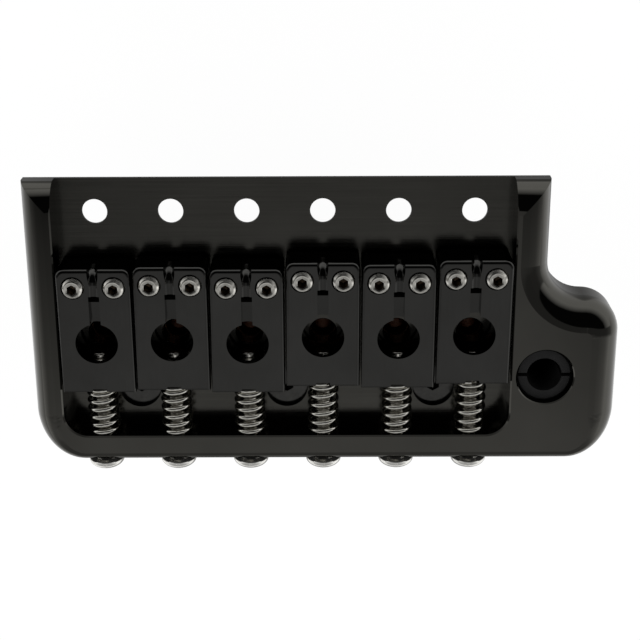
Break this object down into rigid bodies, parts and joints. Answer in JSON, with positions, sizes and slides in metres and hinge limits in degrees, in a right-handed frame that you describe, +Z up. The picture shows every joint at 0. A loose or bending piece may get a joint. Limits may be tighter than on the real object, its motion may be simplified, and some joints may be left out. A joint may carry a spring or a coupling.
{
  "type": "guitar tremolo bridge",
  "caption": "Walled black-nickel tremolo bridge plate with sliding, tilting string saddles on sprung screws, an arm socket lobe and a brass sustain block below.",
  "frame": {"origin": "on the plate's floor, at the middle of the row of mounting screw holes", "axes": "+X along the row towards the arm side, +Y towards the neck, +Z up out of the plate"},
  "size_m": [0.0828, 0.0422, 0.0481],
  "materials": {
    "black_nickel_plate": "gloss black nickel plate, floor finely brushed",
    "black_nickel_saddle": "gloss black nickel plate",
    "brass": "machined brass",
    "black_screw": "blackened steel",
    "bushing_nylon": "black nylon",
    "stainless": "stainless steel, turned",
    "nickel_screw": "bright nickel plate",
    "spring_steel": "bright nickel-plated spring wire"
  },
  "bodies": {
    "base": {"base_plate": "black_nickel_plate", "sustain_block": "brass", "block_screws": "black_screw", "arm_bushing": "bushing_nylon"},
    "arm_tension_screw": {"arm_tension_screw": "stainless"},
    "saddle_1": {"saddle_1": "black_nickel_saddle"},
    "intonation_screw_1": {"intonation_screw_1": "nickel_screw"},
    "intonation_spring_1": {"intonation_spring_1": "spring_steel"},
    "height_screw_1_bass": {"height_screw_1_bass": "stainless"},
    "height_screw_1_treble": {"height_screw_1_treble": "stainless"},
    "saddle_2": {"saddle_2": "black_nickel_saddle"},
    "intonation_screw_2": {"intonation_screw_2": "nickel_screw"},
    "intonation_spring_2": {"intonation_spring_2": "spring_steel"},
    "height_screw_2_bass": {"height_screw_2_bass": "stainless"},
    "height_screw_2_treble": {"height_screw_2_treble": "stainless"},
    "saddle_3": {"saddle_3": "black_nickel_saddle"},
    "intonation_screw_3": {"intonation_screw_3": "nickel_screw"},
    "intonation_spring_3": {"intonation_spring_3": "spring_steel"},
    "height_screw_3_bass": {"height_screw_3_bass": "stainless"},
    "height_screw_3_treble": {"height_screw_3_treble": "stainless"},
    "saddle_4": {"saddle_4": "black_nickel_saddle"},
    "intonation_screw_4": {"intonation_screw_4": "nickel_screw"},
    "intonation_spring_4": {"intonation_spring_4": "spring_steel"},
    "height_screw_4_bass": {"height_screw_4_bass": "stainless"},
    "height_screw_4_treble": {"height_screw_4_treble": "stainless"},
    "saddle_5": {"saddle_5": "black_nickel_saddle"},
    "intonation_screw_5": {"intonation_screw_5": "nickel_screw"},
    "intonation_spring_5": {"intonation_spring_5": "spring_steel"},
    "height_screw_5_bass": {"height_screw_5_bass": "stainless"},
    "height_screw_5_treble": {"height_screw_5_treble": "stainless"},
    "saddle_6": {"saddle_6": "black_nickel_saddle"},
    "intonation_screw_6": {"intonation_screw_6": "nickel_screw"},
    "intonation_spring_6": {"intonation_spring_6": "spring_steel"},
    "height_screw_6_bass": {"height_screw_6_bass": "stainless"},
    "height_screw_6_treble": {"height_screw_6_treble": "stainless"}
  },
  "joints": [
    {"name": "arm_tension_turn", "type": "hinge", "parent": "base", "child": "arm_tension_screw", "pos_m": [0.0364, -0.03566, 0.0008], "axis": [0, 1, 0], "range_deg": [-180, 180]},
    {"name": "saddle_1_height", "type": "hinge", "parent": "base", "child": "intonation_spring_1", "pos_m": [-0.02612, -0.03377, 0.0025], "axis": [1, 0, 0], "range_deg": [-2.2, 3.5]},
    {"name": "intonation_screw_1_turn", "type": "hinge", "parent": "intonation_spring_1", "child": "intonation_screw_1", "pos_m": [-0.02612, -0.03377, 0.0025], "axis": [0, 0.999, 0.0436], "range_deg": [-1081, 1081]},
    {"name": "saddle_1_intonation", "type": "slide", "parent": "intonation_spring_1", "child": "saddle_1", "axis": [0, 0.999, 0.0436], "range_m": [-0.0015, 0.0015], "deforming": ["intonation_spring_1"]},
    {"name": "height_screw_1_bass_travel", "type": "slide", "parent": "saddle_1", "child": "height_screw_1_bass", "axis": [0, -0.0436, 0.999], "range_m": [-0.0017, 0.0011]},
    {"name": "height_screw_1_treble_travel", "type": "slide", "parent": "saddle_1", "child": "height_screw_1_treble", "axis": [0, -0.0436, 0.999], "range_m": [-0.0017, 0.0011]},
    {"name": "saddle_2_height", "type": "hinge", "parent": "base", "child": "intonation_spring_2", "pos_m": [-0.01568, -0.03377, 0.0025], "axis": [1, 0, 0], "range_deg": [-2.2, 3.5]},
    {"name": "intonation_screw_2_turn", "type": "hinge", "parent": "intonation_spring_2", "child": "intonation_screw_2", "pos_m": [-0.01568, -0.03377, 0.0025], "axis": [0, 0.999, 0.0436], "range_deg": [-1081, 1081]},
    {"name": "saddle_2_intonation", "type": "slide", "parent": "intonation_spring_2", "child": "saddle_2", "axis": [0, 0.999, 0.0436], "range_m": [-0.0015, 0.0015], "deforming": ["intonation_spring_2"]},
    {"name": "height_screw_2_bass_travel", "type": "slide", "parent": "saddle_2", "child": "height_screw_2_bass", "axis": [0, -0.0436, 0.999], "range_m": [-0.0017, 0.0011]},
    {"name": "height_screw_2_treble_travel", "type": "slide", "parent": "saddle_2", "child": "height_screw_2_treble", "axis": [0, -0.0436, 0.999], "range_m": [-0.0017, 0.0011]},
    {"name": "saddle_3_height", "type": "hinge", "parent": "base", "child": "intonation_spring_3", "pos_m": [-0.00522, -0.03377, 0.0025], "axis": [1, 0, 0], "range_deg": [-2.2, 3.5]},
    {"name": "intonation_screw_3_turn", "type": "hinge", "parent": "intonation_spring_3", "child": "intonation_screw_3", "pos_m": [-0.00522, -0.03377, 0.0025], "axis": [0, 0.999, 0.0436], "range_deg": [-1081, 1081]},
    {"name": "saddle_3_intonation", "type": "slide", "parent": "intonation_spring_3", "child": "saddle_3", "axis": [0, 0.999, 0.0436], "range_m": [-0.0015, 0.0015], "deforming": ["intonation_spring_3"]},
    {"name": "height_screw_3_bass_travel", "type": "slide", "parent": "saddle_3", "child": "height_screw_3_bass", "axis": [0, -0.0436, 0.999], "range_m": [-0.0017, 0.0011]},
    {"name": "height_screw_3_treble_travel", "type": "slide", "parent": "saddle_3", "child": "height_screw_3_treble", "axis": [0, -0.0436, 0.999], "range_m": [-0.0017, 0.0011]},
    {"name": "saddle_4_height", "type": "hinge", "parent": "base", "child": "intonation_spring_4", "pos_m": [0.00522, -0.03377, 0.0025], "axis": [1, 0, 0], "range_deg": [-2.2, 3.5]},
    {"name": "intonation_screw_4_turn", "type": "hinge", "parent": "intonation_spring_4", "child": "intonation_screw_4", "pos_m": [0.00522, -0.03377, 0.0025], "axis": [0, 0.999, 0.0436], "range_deg": [-1081, 1081]},
    {"name": "saddle_4_intonation", "type": "slide", "parent": "intonation_spring_4", "child": "saddle_4", "axis": [0, 0.999, 0.0436], "range_m": [-0.0015, 0.0015], "deforming": ["intonation_spring_4"]},
    {"name": "height_screw_4_bass_travel", "type": "slide", "parent": "saddle_4", "child": "height_screw_4_bass", "axis": [0, -0.0436, 0.999], "range_m": [-0.0017, 0.0011]},
    {"name": "height_screw_4_treble_travel", "type": "slide", "parent": "saddle_4", "child": "height_screw_4_treble", "axis": [0, -0.0436, 0.999], "range_m": [-0.0017, 0.0011]},
    {"name": "saddle_5_height", "type": "hinge", "parent": "base", "child": "intonation_spring_5", "pos_m": [0.01568, -0.03377, 0.0025], "axis": [1, 0, 0], "range_deg": [-2.2, 3.5]},
    {"name": "intonation_screw_5_turn", "type": "hinge", "parent": "intonation_spring_5", "child": "intonation_screw_5", "pos_m": [0.01568, -0.03377, 0.0025], "axis": [0, 0.999, 0.0436], "range_deg": [-1081, 1081]},
    {"name": "saddle_5_intonation", "type": "slide", "parent": "intonation_spring_5", "child": "saddle_5", "axis": [0, 0.999, 0.0436], "range_m": [-0.0015, 0.0015], "deforming": ["intonation_spring_5"]},
    {"name": "height_screw_5_bass_travel", "type": "slide", "parent": "saddle_5", "child": "height_screw_5_bass", "axis": [0, -0.0436, 0.999], "range_m": [-0.0017, 0.0011]},
    {"name": "height_screw_5_treble_travel", "type": "slide", "parent": "saddle_5", "child": "height_screw_5_treble", "axis": [0, -0.0436, 0.999], "range_m": [-0.0017, 0.0011]},
    {"name": "saddle_6_height", "type": "hinge", "parent": "base", "child": "intonation_spring_6", "pos_m": [0.02612, -0.03377, 0.0025], "axis": [1, 0, 0], "range_deg": [-2.2, 3.5]},
    {"name": "intonation_screw_6_turn", "type": "hinge", "parent": "intonation_spring_6", "child": "intonation_screw_6", "pos_m": [0.02612, -0.03377, 0.0025], "axis": [0, 0.999, 0.0436], "range_deg": [-1081, 1081]},
    {"name": "saddle_6_intonation", "type": "slide", "parent": "intonation_spring_6", "child": "saddle_6", "axis": [0, 0.999, 0.0436], "range_m": [-0.0015, 0.0015], "deforming": ["intonation_spring_6"]},
    {"name": "height_screw_6_bass_travel", "type": "slide", "parent": "saddle_6", "child": "height_screw_6_bass", "axis": [0, -0.0436, 0.999], "range_m": [-0.0017, 0.0011]},
    {"name": "height_screw_6_treble_travel", "type": "slide", "parent": "saddle_6", "child": "height_screw_6_treble", "axis": [0, -0.0436, 0.999], "range_m": [-0.0017, 0.0011]}
  ],
  "couplings": [
    {"joint": "intonation_screw_1_turn", "follows": "saddle_1_intonation", "rad_per_m": -12566},
    {"joint": "height_screw_1_bass_travel", "follows": "saddle_1_height", "m_per_rad": -0.024715},
    {"joint": "height_screw_1_treble_travel", "follows": "saddle_1_height", "m_per_rad": -0.024715},
    {"joint": "intonation_screw_2_turn", "follows": "saddle_2_intonation", "rad_per_m": -12566},
    {"joint": "height_screw_2_bass_travel", "follows": "saddle_2_height", "m_per_rad": -0.025015},
    {"joint": "height_screw_2_treble_travel", "follows": "saddle_2_height", "m_per_rad": -0.025015},
    {"joint": "intonation_screw_3_turn", "follows": "saddle_3_intonation", "rad_per_m": -12566},
    {"joint": "height_screw_3_bass_travel", "follows": "saddle_3_height", "m_per_rad": -0.024625},
    {"joint": "height_screw_3_treble_travel", "follows": "saddle_3_height", "m_per_rad": -0.024625},
    {"joint": "intonation_screw_4_turn", "follows": "saddle_4_intonation", "rad_per_m": -12566},
    {"joint": "height_screw_4_bass_travel", "follows": "saddle_4_height", "m_per_rad": -0.025565},
    {"joint": "height_screw_4_treble_travel", "follows": "saddle_4_height", "m_per_rad": -0.025565},
    {"joint": "intonation_screw_5_turn", "follows": "saddle_5_intonation", "rad_per_m": -12566},
    {"joint": "height_screw_5_bass_travel", "follows": "saddle_5_height", "m_per_rad": -0.025265},
    {"joint": "height_screw_5_treble_travel", "follows": "saddle_5_height", "m_per_rad": -0.025265},
    {"joint": "intonation_screw_6_turn", "follows": "saddle_6_intonation", "rad_per_m": -12566},
    {"joint": "height_screw_6_bass_travel", "follows": "saddle_6_height", "m_per_rad": -0.025815},
    {"joint": "height_screw_6_treble_travel", "follows": "saddle_6_height", "m_per_rad": -0.025815}
  ]
}
